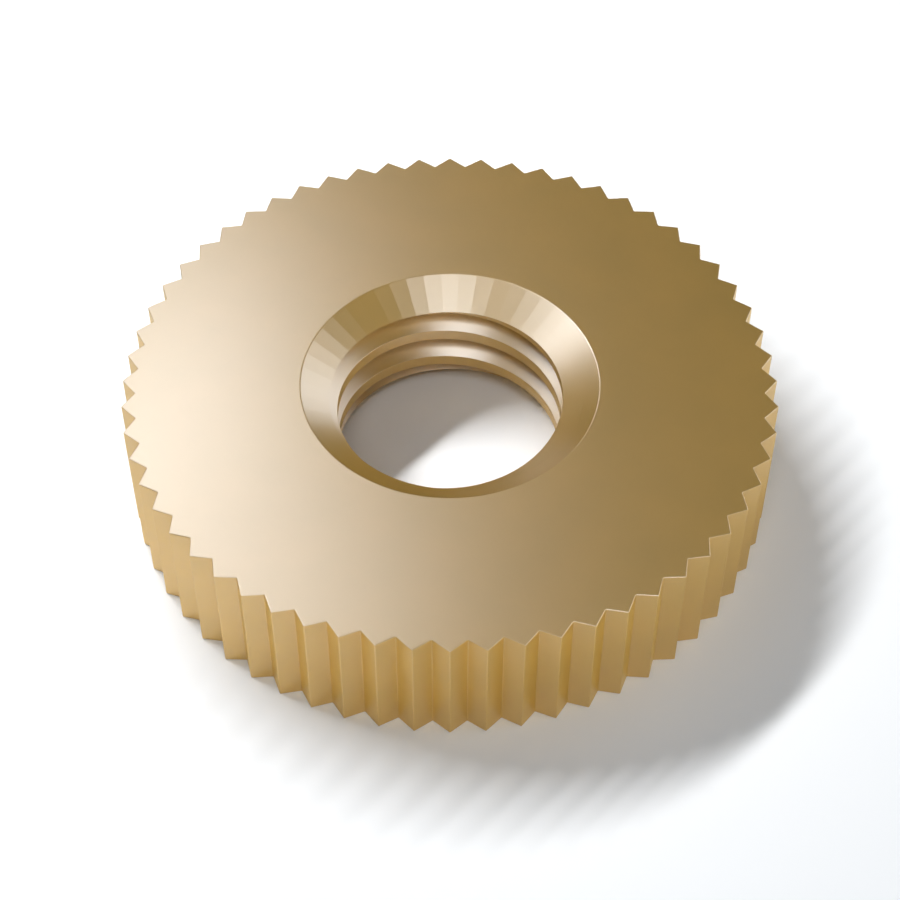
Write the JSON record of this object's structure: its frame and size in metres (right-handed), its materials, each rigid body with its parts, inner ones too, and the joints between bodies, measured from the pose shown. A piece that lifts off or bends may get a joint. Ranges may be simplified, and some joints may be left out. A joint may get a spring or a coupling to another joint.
{
  "type": "knurled thumb nut",
  "caption": "Flat round brass thumb nut with coarse straight V knurling all round its rim and a coarse right-hand threaded hole that is countersunk on both faces.",
  "frame": {"origin": "centre of the bottom face, on the thread's axis", "axes": "+Z along the thread's axis, from the bottom face to the top face; a knurl tooth's tip lies on +X"},
  "size_m": [0.029, 0.029, 0.006],
  "materials": {
    "brass": "satin"
  },
  "bodies": {
    "root": {"thumb_nut": "brass"}
  },
  "joints": []
}
